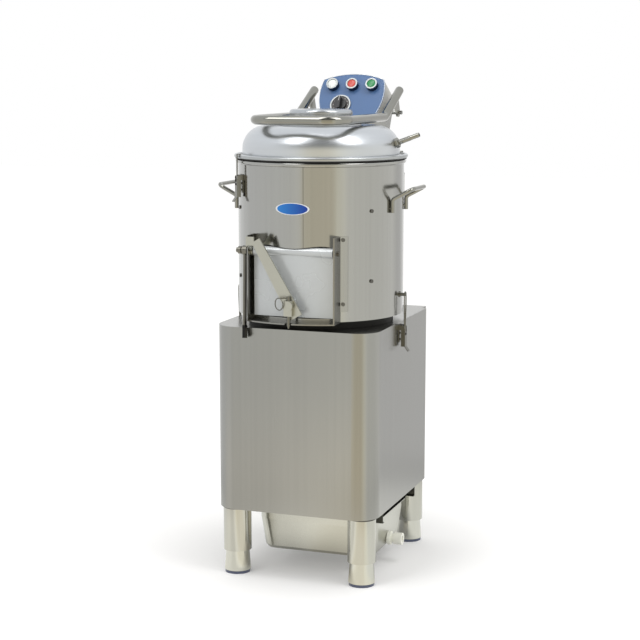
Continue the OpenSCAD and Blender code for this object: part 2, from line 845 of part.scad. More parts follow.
// The lever hangs from the base's pin, and its outer web ends in a lip for the finger
module latch_lever() {
    side = 1.5;
    y0 = latch_w - 2 * side - 0.4;
    web = [latch_pin_x + 5, latch_pin_x + 5 + side];
    lip_l = 14;
    lip_angle = 35;
    tip = [web[1] + lip_l * sin(lip_angle), 0.5 - lever_l - lip_l * cos(lip_angle)];
    difference() {
        union() {
            for (s = [-1, 1]) translate([0, s * (y0 + side / 2) - side / 2, 0]) {
                translate([latch_pin_x - 3.5, 0, -lever_l]) cube([web[1] - latch_pin_x + 3.5, side, lever_l - 3]);
                translate([latch_pin_x, side, 0]) rotate([90, 0, 0]) cylinder(r = 4.6, h = side);
            }
            translate([0, y0 + side, 0]) rotate([90, 0, 0]) linear_extrude(2 * (y0 + side)) polygon([
                [web[0], -18], [web[1], -18], [web[1], 0.5 - lever_l], tip,
                tip - side * [cos(lip_angle), sin(lip_angle)], [web[0], -lever_l]]);
        }
        translate([latch_pin_x, -20, 0]) rotate([-90, 0, 0]) cylinder(r = latch_pin_r + running, h = 40);
    }
    translate([hook_pin_x, -y0 - side, -hook_drop]) rotate([-90, 0, 0])
        cylinder(r = hook_pin_r, h = 2 * (y0 + side));
}

// The strap that hooks over the lid's rim
module latch_hook() {
    half = 4;
    t = 1.8;
    x = hook_pin_x;
    top = lid_z + 2 * lid_roll_r - lid_latch_z + gap;
    difference() {
        union() {
            translate([x, half, -hook_drop]) rotate([90, 0, 0]) cylinder(r = 3.2, h = 2 * half);
            translate([x - t / 2, -half, -hook_drop]) cube([t, 2 * half, top + hook_drop + t]);
            translate([x - 9, -half, top]) cube([9, 2 * half, t]);
        }
        translate([x, -20, -hook_drop]) rotate([-90, 0, 0]) cylinder(r = hook_pin_r + running, h = 40);
    }
}

// The wire bail, a long loop over the catch on the drum, with room below the catch to rise off it
module latch_bail() {
    wire = 1.6;
    eye = catch_r + 1.6 + wire;
    x = hook_pin_x;
    wire_x = x + 0.7;
    top = catch_z - base_latch_z + catch_r + gap - (eye - wire);
    elbow = top - 24;
    translate([wire_x, 0, top]) rotate([0, 90, 0]) rotate(90) rotate_extrude(angle = 180) translate([eye, 0]) circle(wire);
    difference() {
        union() {
            translate([x, 4, -hook_drop]) rotate([90, 0, 0]) cylinder(r = 3.2, h = 8);
            for (s = [-1, 1]) {
                translate([wire_x, s * eye, elbow + joint_gap]) cylinder(r = wire, h = top - elbow - joint_gap);
                translate([wire_x, s * eye, elbow]) sphere(r = wire + joint_r);
                bar([wire_x, s * 2.2, -hook_drop + 2], [wire_x, s * eye, elbow - joint_gap], wire);
            }
        }
        translate([x, -20, -hook_drop]) rotate([-90, 0, 0]) cylinder(r = hook_pin_r + running, h = 40);
    }
}

module lid_lever_front() { color(bright) at_lid_latch(0) latch_lever(); }
module lid_hook_front() { color(bright) at_lid_latch(0) latch_hook(); }
module lid_lever_rear() { color(bright) at_lid_latch(1) latch_lever(); }
module lid_hook_rear() { color(bright) at_lid_latch(1) latch_hook(); }
module base_lever_right() { color(bright) at_base_latch(1) latch_lever(); }
module base_bail_right() { color(bright) at_base_latch(1) latch_bail(); }
module base_lever_left() { color(bright) at_base_latch(-1) latch_lever(); }
module base_bail_left() { color(bright) at_base_latch(-1) latch_bail(); }

// ---- discharge door ----

// The space between the drum and the reach of the door frame
module frame_band(r_in, r_out, z, h) {
    at_drum(z) ring(r_out, r_out - r_in, h);
}

module door_frame() {
    top = door_z + 38;
    sill_z = drum_z - 2;
    half = frame_x + frame_t;
    color(steel) difference() {
        union() {
            for (s = [-1, 1]) intersection() {
                frame_band(frame_inner_r, frame_reach, sill_z, top - sill_z);
                translate([s * (frame_x + frame_t / 2) - frame_t / 2, drum_y - 300, 0]) cube([frame_t, 300, 2000]);
            }
            intersection() {
                frame_band(frame_inner_r, frame_reach, sill_z, frame_t);
                translate([-half, drum_y - 300, 0]) cube([2 * half, 300, 2000]);
            }
            for (s = [-1, 1]) intersection() {
                frame_band(frame_inner_r, drum_r + 2, drum_z + 24, top - drum_z - 24);
                translate([s * (half + strip_w / 2 - 1) - strip_w / 2 - 1, drum_y - 300, 0])
                    cube([strip_w + 2, 300, 2000]);
            }
        }
        translate([-far / 2, door_y, door_z]) cyl_x(door_shaft_r + running, far);
        translate([lock_x - notch_w / 2, lock_y - 60, sill_z - 1]) cube([notch_w, 70, frame_t + 2]);
    }
}

module door_panel() {
    rib = 6;
    inner = drum_r - 7;
    boss = [14, 28, 34];
    color([0.9, 0.91, 0.92]) difference() {
        union() {
            difference() {
                intersection() {
                    translate([-door_half, door_face_y - 5, door_bottom]) cube([door_w, 60, door_z - door_bottom]);
                    translate([0, door_face_y + door_face_r, 0]) cylinder(r = door_face_r, h = 2000, $fn = 360);
                }
                at_drum() cylinder(r = inner, h = 2000);
                difference() {
                    translate([rib - door_half, door_face_y - 5, door_bottom + rib]) cube([door_w - 2 * rib, 60, door_z]);
                    translate([0, door_face_y + door_face_r, 0]) difference() {
                        cylinder(r = door_face_r + 1, h = 2000, $fn = 360);
                        translate([0, 0, -1]) cylinder(r = door_face_r - door_t, h = 2010, $fn = 360);
                    }
                }
                translate([-door_half - 1, door_y + 8, door_z - 5]) cube([door_w + 2, 60, 20]);
            }
            translate([-door_half, door_y, door_z]) cyl_x(door_bead_r, door_w);
            translate([lock_x - boss[0] / 2, lever_y + lever_t, lock_guide_z + 1]) cube(boss);
        }
        translate([-door_half - 1, door_y, door_z]) cyl_x(door_shaft_r, door_w + 2);
    }
}

// The flat bar across the door, its arm to the shaft and the guide of the lock pin
module door_lever() {
    along = (lever_foot - lever_top) / norm(lever_foot - lever_top);
    side = [-along[1], along[0]];
    arm_t = 4.5;
    arm_x = -frame_x + 0.8;
    color(steel) difference() {
        union() {
            translate([0, lever_y + lever_t, 0]) rotate([90, 0, 0]) linear_extrude(lever_t) polygon([
                lever_top + side * lever_w / 2, lever_foot + side * lever_w_low / 2,
                lever_foot - side * lever_w_low / 2, lever_top - side * lever_w / 2]);
            translate([arm_x, door_y, door_z]) cyl_x(door_bead_r, arm_t);
            translate([arm_x, 0, 0]) rotate([90, 0, 90]) linear_extrude(arm_t) polygon([
                [door_y - door_bead_r, door_z], [door_y, door_z + door_bead_r],
                [lever_y + lever_t + 1, door_z + 36], [lever_y, door_z + 36], [lever_y, door_z + 14]]);
            translate([arm_x, lever_y, door_z + 16]) cube([20, lever_t, 20]);
            translate([lock_x - 10, lock_y - 6, lock_guide_z]) cube([20, lever_y - lock_y + 7, lock_guide_h]);
            translate([lock_x, lock_y - 8.5, lock_guide_z + lock_guide_h - 12]) rotate([-90, 0, 0])
                cylinder(r = 12, h = 10);
        }
        translate([-far / 2, door_y, door_z]) cyl_x(door_shaft_r, far);
        translate([lock_x, lock_y, lock_guide_z - 1]) cylinder(r = lock_r + running, h = lock_guide_h + 2);
    }
}

// The shaft through the door with the hanging handle strap at its left end
module door_handle() {
    strap_l = 196;
    strap_x = -frame_x - frame_t - 14;
    shaft_l = 2 * frame_x + frame_t + 42;
    color(steel) {
        translate([frame_x + frame_t + 4 - shaft_l, door_y, door_z]) cyl_x(door_shaft_r, shaft_l);
        translate([strap_x - 5, door_y, door_z]) cyl_x(11, 11);
        translate([-frame_x - frame_t - 2.5, door_y, door_z]) cyl_x(17, 2);
        translate([strap_x - 16, door_y, door_z]) cyl_x(9, 7);
        translate([strap_x, door_y, door_z]) rotate([-10, 0, 0]) rotate([0, -3.3, 0])
            translate([-2, -7, -strap_l]) cube([4, 14, strap_l]);
    }
    color(dark) translate([strap_x, door_y, door_z]) rotate([-10, 0, 0]) rotate([0, -3.3, 0])
        translate([-3, -8, -strap_l - 10]) cube([6, 16, 30]);
}

module lock_pin() {
    top = lock_guide_z + lock_guide_h + 10;
    arm_z = top - 4;
    ring_at = [lock_x - 21, lock_y - 6, arm_z - ring_r];
    color(bright) {
        translate([lock_x, lock_y, lock_tip_z]) cylinder(r1 = 1.5, r2 = lock_r, h = lock_cone);
        translate([lock_x, lock_y, lock_tip_z + lock_cone]) cylinder(r = lock_r, h = top - lock_tip_z - lock_cone);
        bar([lock_x, lock_y, arm_z], ring_at + [-1, 0, ring_r], 1.8);
        translate(ring_at) rotate([90, 0, -30]) rotate_extrude() translate([ring_r, 0]) circle(ring_wire);
    }
}

// ---- lid and hatch ----

module lid_gasket() {
    color(dark) at_drum(gasket_z) ring(drum_r + 6, 10, gasket_t);
}

module lid_dome() {
    t = 1.5;
    rim_z = lid_z + lid_roll_r;
    color(bright) difference() {
        at_drum() rotate_extrude() {
            translate([shoulder_x, lid_top - shoulder_r]) intersection() {
                tube_section(shoulder_r, t);
                square(shoulder_r + 1);
            }
            translate([mouth_r, lid_top - t]) square([shoulder_x - mouth_r, t]);
            translate([mouth_r, lid_top - t]) square([t, mouth_collar + t]);
            polygon([[lid_side_r, lid_top - shoulder_r], [lid_side_r - t, lid_top - shoulder_r],
                [lid_side_r - t, rim_z - 1], [drum_r + 1.5, rim_z - 1], [drum_r + 1.5, rim_z + 0.5],
                [lid_side_r + 3, rim_z + 0.5], [lid_side_r, rim_z + 3.5]]);
            translate([lid_rim_r - lid_roll_r, rim_z]) circle(lid_roll_r);
        }
        at_inlet() translate([0, 0, -30]) cylinder(r = 6.8, h = 60);
    }
}

inlet_tilt = 69.5;
inlet_r = 6;

// The water inlet's own frame: +Z out of the lid's right shoulder
module at_inlet() {
    translate([lid_side_r - 6, drum_y, lid_top - 42.7]) rotate([0, inlet_tilt, 0]) children();
}

module inlet_nozzle() {
    color(bright) at_inlet() {
        difference() {
            union() {
                translate([0, 0, -10]) cylinder(r = inlet_r, h = 52);
                translate([0, 0, 41]) cylinder(r = inlet_r - 0.9, h = 25);
                translate([0, 0, 4.7]) cylinder(r = 12, h = 8, $fn = 6);
                translate([0, 0, -5]) cylinder(r = 10, h = 5.8);
                for (i = [0:2]) translate([0, 0, 44 + 7.5 * i]) cylinder(r1 = inlet_r, r2 = inlet_r - 0.9, h = 6.5);
            }
            translate([0, 0, -20]) cylinder(r = 4, h = 90);
        }
    }
}

module hatch_cover() {
    reach = bar_x - bar_r - 1.5;
    t = cover_t;
    r_in = hatch_boss_r - t;
    round_r = 8;
    top = cover_z + t + hatch_boss_h;
    color(bright) difference() {
        union() {
            at_drum() rotate_extrude() {
                translate([r_in, cover_z]) square([reach - r_in, t]);
                translate([r_in, cover_z]) square([t, top - round_r - cover_z]);
                translate([hatch_boss_r - round_r, top - round_r]) intersection() {
                    tube_section(round_r, t);
                    square(round_r + 1);
                }
                translate([0, top - t]) square([hatch_boss_r - round_r, t]);
            }
            for (s = [-1, 1]) translate([s * (reach + 1) - 7, drum_y - 14, cover_z]) cube([14, 28, t]);
        }
        for (s = [-1, 1]) translate([s * bar_x, bar_y, bar_z]) rotate([-90, 0, 0]) cylinder(r = bar_r, h = 300);
    }
}

// One half of the bar's centre line, as a round rod
module bar_line(r) {
    run = bar_bend_y - bar_y - bar_corner_r;
    open = joint_gap / bar_bend_r * 57;
    translate([0, bar_y, bar_z]) {
        rotate([0, -90, 0]) cylinder(r = r, h = bar_x - bar_corner_r);
        translate([bar_corner_r - bar_x, bar_corner_r, 0]) rotate(180) rotate_extrude(angle = 90)
            translate([bar_corner_r, 0]) circle(r);
        translate([-bar_x, bar_corner_r, 0]) rotate([-90, 0, 0]) cylinder(r = r, h = run - joint_gap);
    }
    translate([-bar_x, bar_bend_y, bar_z]) sphere(r = r + joint_r);
    translate([-bar_x, bar_bend_y, bar_z + bar_bend_r]) rotate([90, 0, 90]) rotate(-90) {
        rotate(open) rotate_extrude(angle = bar_rise - 2 * open) translate([bar_bend_r, 0]) circle(r);
        rotate(bar_rise) translate([bar_bend_r, 0, 0]) rotate([-90, 0, 0]) {
            sphere(r = r + joint_r);
            translate([0, 0, joint_gap]) cylinder(r = r, h = bar_end_l - joint_gap);
        }
    }
}

module bar_end() {
    translate([-bar_x, bar_bend_y, bar_z + bar_bend_r]) rotate([90, 0, 90]) rotate(bar_rise - 90)
        translate([bar_bend_r, bar_end_l - 2, 0]) rotate([-90, 0, 0]) cylinder(r = bar_r - 0.5, h = 5);
}

module bar_ear() {
    difference() {
        translate([ear_x, 0, 0]) rotate([90, 0, 90]) linear_extrude(ear_t) difference() {
            union() {
                translate([hatch_y, hatch_z]) circle(11);
                polygon([[hatch_y - 11, hatch_z], [hatch_y - 42, hatch_z + 22], [hatch_y - 8, hatch_z + 50],
                    [hatch_y + 11, hatch_z]]);
            }
            translate([hatch_y, hatch_z]) circle(hinge_pin_r + running);
        }
        translate([bar_x, bar_bend_y, bar_z + bar_bend_r]) rotate([90, 0, 90]) rotate(bar_rise - 90)
            translate([bar_bend_r, -20, 0]) rotate([-90, 0, 0])
                cylinder(r = bar_r - bar_wall / 2, h = bar_end_l + 30);
    }
}

module hatch_bar() {
    color(bright) {
        difference() {
            for (m = [0, 1]) mirror([m, 0, 0]) bar_line(bar_r);
            for (m = [0, 1]) mirror([m, 0, 0]) bar_line(bar_r - bar_wall);
        }
        for (m = [0, 1]) mirror([m, 0, 0]) {
            bar_end();
            bar_ear();
        }
    }
}

// ---- controls ----

module panel_shape(inset = 0) {
    top = panel_h + panel_low;
    intersection() {
        translate([0, top - panel_top_r]) circle(panel_top_r - inset, $fn = 240);
        translate([panel_w2 - panel_side_r, panel_wide_at]) circle(panel_side_r - inset, $fn = 240);
        translate([panel_side_r - panel_w2, panel_wide_at]) circle(panel_side_r - inset, $fn = 240);
        translate([-panel_w2, panel_low + inset]) square([2 * panel_w2, 2 * panel_h]);
    }
}

module control_box() {
    color(grey) at_panel() translate([0, 0, -panel_t - box_d]) difference() {
        linear_extrude(box_d) panel_shape(1);
        translate([0, 0, sheet]) linear_extrude(box_d) panel_shape(1 + sheet);
    }
}

module at_button(i) {
    translate([i * button_pitch, button_row, 0]) children();
}

module control_panel() {
    color(blue) at_panel() difference() {
        translate([0, 0, -panel_t]) linear_extrude(panel_t) panel_shape();
        for (i = [-1:1]) at_button(i) translate([0, 0, -5]) cylinder(r = button_r + gap, h = 10);
        translate([timer_at[0], timer_at[1], -5]) cylinder(r = 4, h = 10);
    }
}

module control_bezels() {
    color(bright) at_panel() {
        for (i = [-1:1]) at_button(i) ring(bezel_r, bezel_r - button_r - gap, bezel_h);
        translate(timer_at) {
            ring(timer_r, 3.5, 4);
            ring(timer_r - 3, timer_r - 3 - 4, 1.2);
        }
    }
}

module button_cap() {
    intersection() {
        translate([0, 0, -button_l]) cylinder(r = button_r, h = button_l + button_h + 2);
        translate([0, 0, button_h + 2 - 40]) sphere(r = 40, $fn = 96);
    }
}

module pilot_lamp() {
    color([0.95, 0.96, 0.96]) at_panel() at_button(-1) {
        button_cap();
        translate([0, 0, block_top]) cylinder(r = button_r, h = 10);
    }
}

module stop_button() {
    color([0.8, 0.15, 0.12]) at_panel() at_button(0) button_cap();
}

module start_button() {
    color([0.12, 0.45, 0.2]) at_panel() at_button(1) button_cap();
}

module switch_blocks() {
    low = sheet - panel_t - box_d;
    color(dark) at_panel() {
        for (i = [-1:1]) at_button(i) translate([-14, -14, low]) cube([28, 28, block_top - low]);
        translate([timer_at[0], timer_at[1], -46]) difference() {
            cylinder(r = 20, h = 46 - panel_t);
            translate([0, 0, 30]) cylinder(r = 3 + running, h = 20);
        }
        translate([16, 4, low]) cube([44, 36, 40]);
    }
}

module timer_knob() {
    color(dark) at_panel() translate(timer_at) {
        translate([0, 0, -14]) cylinder(r = 3, h = 17);
        translate([0, 0, 2]) cylinder(r = knob_r, h = 6);
        intersection() {
            translate([0, 0, 2]) cylinder(r = knob_r, h = knob_h);
            translate([-4, -knob_r, 2]) cube([8, 2 * knob_r, knob_h]);
        }
    }
}

module control_column() {
    low = deck_z;
    saddle_v = panel_low + 1 - cheek_t - 2 * seat;
    color(steel) {
        difference() {
            translate([-column_w / 2, column_y, low]) cube([column_w, column_d, panel_z - low]);
            translate([2 - column_w / 2, column_y + 2, low - 1]) cube([column_w - 4, column_d - 4, panel_z]);
            at_panel() translate([-far, saddle_v, -far]) cube(2 * far);
        }
        difference() {
            translate([-18, drum_y + drum_r - 4, drum_z + 290]) cube([36, column_y - drum_y - drum_r + 5, 40]);
            at_drum() cylinder(r = drum_r + seat, h = 2000);
        }
        at_panel() translate([-cheek_x - cheek_t, saddle_v, -72]) {
            cube([2 * (cheek_x + cheek_t), cheek_t, 52]);
            for (x = [0, 2 * cheek_x + cheek_t]) translate([x, 0, 0]) cube([cheek_t, 48, 36]);
        }
        for (s = [-1, 1]) translate([s > 0 ? cheek_x + cheek_t / 2 : -cheek_x - cheek_t / 2 - 34, hatch_y, hatch_z])
            cyl_x(hinge_pin_r, 34);
    }
}

// ---- the assembly ----

cabinet_shell();
cabinet_top();
cabinet_floor();
cabinet_back();
leg_tubes();
foot_front_left();
foot_front_right();
foot_rear_left();
foot_rear_right();
pan_rails();
drain_pan();
pan_spigot();
drain_pipe();
cable_gland();
drum_base_ring();
drum_shell();
drum_floor();
abrasive_liner();
abrasive_disc();
drive_shaft();
bearing_housing();
shaft_bearings();
driven_pulley();
motor_pulley();
drive_belt();
motor_body();
motor_rotor();
motor_mount();
panel_screws();
side_handles();
badge_plate();
drum_catches();
latch_bases();
lid_lever_front();
lid_hook_front();
lid_lever_rear();
lid_hook_rear();
base_lever_right();
base_bail_right();
base_lever_left();
base_bail_left();
door_frame();
door_panel();
door_lever();
door_handle();
lock_pin();
lid_dome();
lid_gasket();
inlet_nozzle();
hatch_cover();
hatch_bar();
control_column();
control_box();
control_panel();
pilot_lamp();
control_bezels();
switch_blocks();
stop_button();
start_button();
timer_knob();
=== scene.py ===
"""Looks for the electric potato peeler: materials, thin pieces on the control panel, studio and camera
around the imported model. Lengths are in metres, in the CAD's frame."""
import bpy
import bmesh
from math import cos, pi, radians, sin
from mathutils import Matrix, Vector


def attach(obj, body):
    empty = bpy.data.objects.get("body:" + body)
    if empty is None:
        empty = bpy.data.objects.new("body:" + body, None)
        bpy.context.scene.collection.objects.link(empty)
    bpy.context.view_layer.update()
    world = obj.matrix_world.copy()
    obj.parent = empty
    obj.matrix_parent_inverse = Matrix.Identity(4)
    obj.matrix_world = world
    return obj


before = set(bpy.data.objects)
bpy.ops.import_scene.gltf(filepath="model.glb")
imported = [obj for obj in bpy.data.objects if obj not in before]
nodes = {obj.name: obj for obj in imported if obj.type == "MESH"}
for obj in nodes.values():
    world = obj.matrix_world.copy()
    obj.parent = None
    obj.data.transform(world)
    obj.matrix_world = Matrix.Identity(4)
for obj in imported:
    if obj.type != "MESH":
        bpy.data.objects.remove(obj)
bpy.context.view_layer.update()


def add(name, data):
    """A new object in the scene."""
    obj = bpy.data.objects.new(name, data)
    bpy.context.scene.collection.objects.link(obj)
    return obj


def aim(obj, place, at):
    """Puts a camera or a light in its place and points it."""
    obj.location = place
    obj.rotation_euler = (Vector(at) - Vector(place)).to_track_quat("-Z", "Y").to_euler()


# ---------------------------------------------------------------- camera

AZ, EL = radians(19.66), radians(8.94)
TARGET, DISTANCE = Vector((-0.00666, -0.0344, 0.6027)), 3.918

camera = add("camera", bpy.data.cameras.new("camera"))
camera.data.lens = 89.73
camera.data.sensor_width = 36.0
camera.data.clip_end = 100.0
aim(camera, TARGET + Vector((sin(AZ) * cos(EL), -cos(AZ) * cos(EL), sin(EL))) * DISTANCE, TARGET)
bpy.context.scene.camera = camera

# ---------------------------------------------------------------- places on the object

DRUM_Y = -0.045                 # the drum's upright axis stands at x 0 and this y
SEAM_TURN = radians(7.65)       # the drum's weld seam, measured from the front to the right
SEAM_MID, SEAM_REACH = 0.896, 0.093
LEG_TOP = 0.1640                # where the leg tubes meet the cabinet
PAD_TOP = 0.0071                # top of a foot's plastic pad
LID_RIM_TOP = 1.0095            # the lid's dome begins above its rim
FLANGE_X = 0.1085               # beyond this x the door frame shows its flanges
GRIP_TOP = 0.6195               # top of the grip on the door handle's strap
BADGE_MID, BADGE_WIDE, BADGE_HIGH = 0.893, 0.0415, 0.014

# The control panel's own frame: its origin, up along its face, and out of its face
PANEL_AT = Vector((0, 0.16, 1.1057))
PANEL_UP, PANEL_OUT = Vector((0, 0.48786, 0.87292)), Vector((0, -0.87292, 0.48786))
BUTTON_ROW = 0.050              # above this there are only the bezels of the lamp and the buttons
BEZEL_SIDE_TOP = 0.0125         # how far a bezel's side reaches out of the face
DIAL_U, DIAL_V = -0.024, 0.0185


# ---------------------------------------------------------------- node helpers

class Graph:
    """A short way to write nodes."""

    def __init__(self, node_tree):
        self.nt = node_tree

    def node(self, kind, inputs=None, **props):
        n = self.nt.nodes.new(kind)
        for key, value in props.items():
            setattr(n, key, value)
        for key, value in (inputs or {}).items():
            self.feed(n.inputs[key], value)
        return n

    def feed(self, socket, value):
        if isinstance(value, bpy.types.NodeSocket):
            self.nt.links.new(value, socket)
        elif socket.type == "RGBA":
            socket.default_value = (*value, 1.0)
        else:
            socket.default_value = value

    def mix(self, fac, a, b):
        """Colour a where fac is 0, colour b where it is 1."""
        return self.node("ShaderNodeMix", {0: fac, 6: a, 7: b}, data_type="RGBA").outputs[2]

    def math(self, op, a, b=0.0, c=0.0):
        return self.node("ShaderNodeMath", {0: a, 1: b, 2: c}, operation=op).outputs[0]

    def length(self, x, y):
        return self.math("SQRT", self.math("ADD", self.math("MULTIPLY", x, x), self.math("MULTIPLY", y, y)))

    def remap(self, value, lo, hi, out_lo, out_hi):
        return self.node("ShaderNodeMapRange", {
            "Value": value, "From Min": lo, "From Max": hi, "To Min": out_lo, "To Max": out_hi}).outputs[0]

    def band(self, value, centre, half, soft):
        """1 within half of the centre, fading to 0 over soft."""
        d = self.math("ABSOLUTE", self.math("SUBTRACT", value, centre))
        return self.remap(d, half, half + soft, 1.0, 0.0)

    def xyz(self, output):
        """The three parts of one of the texture coordinates."""
        at = self.node("ShaderNodeTexCoord").outputs[output]
        return self.node("ShaderNodeSeparateXYZ", {"Vector": at}).outputs

    def emission(self, colour, strength):
        return self.node("ShaderNodeEmission", {"Color": colour, "Strength": strength}).outputs[0]


class Tree(Graph):
    """A material with a Principled shader."""

    def __init__(self, name):
        self.mat = bpy.data.materials.new(name)
        self.mat.use_nodes = True
        super().__init__(self.mat.node_tree)
        self.bsdf = self.nt.nodes["Principled BSDF"]
        self.coord = self.nt.nodes.new("ShaderNodeTexCoord").outputs["Object"]

    def set(self, **values):
        for key, value in values.items():
            self.feed(self.bsdf.inputs[key.replace("_", " ")], value)

    def scaled(self, at, scale):
        return self.node("ShaderNodeMapping", {"Vector": at, "Scale": scale}).outputs[0]

    def noise(self, vector, scale=1.0, detail=3.0, rough=0.55):
        return self.node("ShaderNodeTexNoise", {
            "Vector": vector, "Scale": scale, "Detail": detail, "Roughness": rough}).outputs["Fac"]

    def axes(self):
        return self.xyz("Object")

    def bump(self, height, strength, distance):
        n = self.node("ShaderNodeBump", {"Height": height, "Strength": strength, "Distance": distance})
        self.feed(self.bsdf.inputs["Normal"], n.outputs[0])

    def over(self, mask, colour, metal=True):
        """Another colour where the mask is 1, and no metal there if metal is False."""
        base = self.bsdf.inputs["Base Color"].links[0].from_socket
        self.set(Base_Color=self.mix(mask, base, colour))
        if not metal:
            self.set(Metallic=self.math("SUBTRACT", 1.0, mask))


def give(tree, *names):
    for name in names:
        slots = nodes[name].data.materials
        slots.clear()
        slots.append(tree.mat)


def shades(colour, by):
    """The colour a little darker and a little paler."""
    return [c * (1 - by) for c in colour], [min(1, c * (1 + by)) for c in colour]


def brushed(name, colour, rough, grain=(900, 900, 5), depth=0.00002, streak=0.10, spread=0.08, spun=False):
    """Stainless sheet with a fine one-way grain, or with a grain that runs round the drum's axis."""
    t = Tree(name)
    at = t.coord
    if spun:
        x, y, z = t.axes()
        y = t.math("SUBTRACT", y, DRUM_Y)
        turn = t.math("MULTIPLY", t.math("ARCTAN2", x, y), 0.02)
        at = t.node("ShaderNodeCombineXYZ", {0: t.length(x, y), 1: turn, 2: z}).outputs[0]
        round_axis = t.node("ShaderNodeTangent", direction_type="RADIAL", axis="Z").outputs[0]
        t.set(Tangent=round_axis, Anisotropic=0.3)
    fine = t.noise(t.scaled(at, grain), 1.0, 2.0)
    coarse = t.noise(t.scaled(at, [g * 0.11 for g in grain]), 1.0, 3.0)
    cloud = t.noise(t.coord, 5.0, 2.0)
    shade = t.math("ADD", t.math("MULTIPLY", coarse, streak), t.math("MULTIPLY", cloud, streak * 0.5))
    gloss = t.math("ADD", fine, t.math("MULTIPLY", cloud, 0.6))
    t.set(Base_Color=t.mix(t.remap(shade, 0, streak * 1.5, 0, 1), *shades(colour, streak)), Metallic=1.0,
          Roughness=t.remap(gloss, 0.4, 1.2, rough - spread / 2, rough + spread / 2))
    t.bump(fine, 0.35, depth)
    return t


def plastic(name, colour, rough, grain=1200, depth=0.00003, vary=0.06):
    """Moulded plastic, paint or cast metal with a fine tooth and a faint cloud in its colour."""
    t = Tree(name)
    tooth = t.noise(t.coord, grain, 2.0)
    cloud = t.noise(t.coord, 14, 2.0)
    t.set(Base_Color=t.mix(cloud, *shades(colour, vary)),
          Roughness=t.remap(cloud, 0.3, 0.7, rough - 0.05, rough + 0.05))
    t.bump(tooth, 0.3, depth)
    return t


# ---------------------------------------------------------------- cabinet, legs and drum

cabinet = brushed("cabinet_steel", (0.36, 0.358, 0.338), 0.24, grain=(1100, 1100, 6), streak=0.07)
give(cabinet, "cabinet_shell", "cabinet_top", "cabinet_back", "cabinet_floor", "control_column", "motor_mount")

# The drum's sheet has a weld seam a little right of the front
drum = brushed("drum_steel", (0.405, 0.403, 0.382), 0.17, grain=(1300, 1300, 4), depth=0.000012, streak=0.08)
x, y, z = drum.axes()
turn = drum.math("ARCTAN2", x, drum.math("SUBTRACT", DRUM_Y, y))
seam = drum.math("MULTIPLY", drum.band(turn, SEAM_TURN, 0.0025, 0.002),
                 drum.band(z, SEAM_MID, SEAM_REACH, 0.002))
drum.over(seam, (0.16, 0.155, 0.14))
give(drum, "drum_shell", "drum_floor", "drain_pipe")

# A painted shadow: a dark band round each tube's top, where it meets the cabinet
legs = brushed("leg_steel", (0.52, 0.515, 0.467), 0.14, grain=(500, 500, 8), streak=0.15)
legs.over(legs.band(legs.axes()[2], LEG_TOP, 0.0012, 0.0010), (0.07, 0.065, 0.06))
give(legs, "leg_tubes")

# Each foot stands on a plastic pad
foot = brushed("foot_steel", (0.58, 0.577, 0.525), 0.14, grain=(500, 500, 8))
foot.over(foot.band(foot.axes()[2], 0.0, PAD_TOP, 0.0002), (0.085, 0.10, 0.16), metal=False)
give(foot, "foot_front_left", "foot_front_right", "foot_rear_left", "foot_rear_right")

pan = brushed("pan_steel", (0.555, 0.552, 0.505), 0.28, grain=(900, 900, 900), depth=0.00001, streak=0.05)
give(pan, "drain_pan")
# Painted shade: the pan's rails are coloured near black for the shade they sit in under the cabinet
rails_painted_shade = brushed("rail_steel_painted_shade", (0.10, 0.10, 0.09), 0.35)
give(rails_painted_shade, "pan_rails")

# ---------------------------------------------------------------- lid, hatch, latches and door

# The lid's rim is painted darker than its dome: a painted shade that dims the rim's reflection
lid = brushed("lid_steel", (0.62, 0.64, 0.66), 0.3, grain=(1500, 400, 1500), depth=0.000002,
              streak=0.04, spread=0.04, spun=True)
lid.over(lid.remap(lid.axes()[2], LID_RIM_TOP, LID_RIM_TOP + 0.0015, 1, 0), (0.46, 0.475, 0.475))
give(lid, "lid_dome")
cover = brushed("cover_steel", (0.50, 0.52, 0.54), 0.22, grain=(1500, 400, 1500), depth=0.000002,
                streak=0.05, spread=0.04, spun=True)
give(cover, "hatch_cover")

tube = brushed("tube_steel", (0.31, 0.305, 0.275), 0.1, grain=(300, 300, 300), depth=0.00001, spread=0.05)
give(tube, "hatch_bar", "side_handles", "inlet_nozzle", "drive_shaft", "motor_rotor", "shaft_bearings")

fittings = brushed("fitting_steel", (0.19, 0.185, 0.16), 0.22, grain=(400, 400, 400), streak=0.14)
give(fittings, "latch_bases", "drum_catches", "lid_lever_front", "lid_hook_front", "lid_lever_rear",
     "lid_hook_rear", "base_lever_right", "base_bail_right", "base_lever_left", "base_bail_left", "lock_pin")
screws = brushed("screw_steel", (0.13, 0.125, 0.115), 0.28, grain=(600, 600, 600), streak=0.14)
give(screws, "panel_screws")

# The door frame's flanges are paler than its channel
door_frame = brushed("door_frame_steel", (0.30, 0.295, 0.275), 0.26, grain=(900, 900, 8))
across = door_frame.math("ABSOLUTE", door_frame.axes()[0])
door_frame.over(door_frame.remap(across, FLANGE_X, FLANGE_X + 0.0002, 0, 1), (0.38, 0.378, 0.358))
give(door_frame, "door_frame")

lever = brushed("lever_steel", (0.51, 0.507, 0.45), 0.38, grain=(300, 300, 300), depth=0.00003)
give(lever, "door_lever")

# The handle's strap ends in a dark grip
strap = brushed("strap_steel", (0.22, 0.21, 0.18), 0.3, grain=(300, 300, 300))
strap.over(strap.remap(strap.axes()[2], GRIP_TOP, GRIP_TOP + 0.002, 1.0, 0.0), (0.012, 0.012, 0.011), metal=False)
strap.set(Specular_IOR_Level=0.15)
give(strap, "door_handle")

cast = plastic("cast_door", (0.575, 0.595, 0.60), 0.26, grain=900, depth=0.00001, vary=0.015)
cast.set(Metallic=0.3)
give(cast, "door_panel")

# ---------------------------------------------------------------- drive, linings and rubber

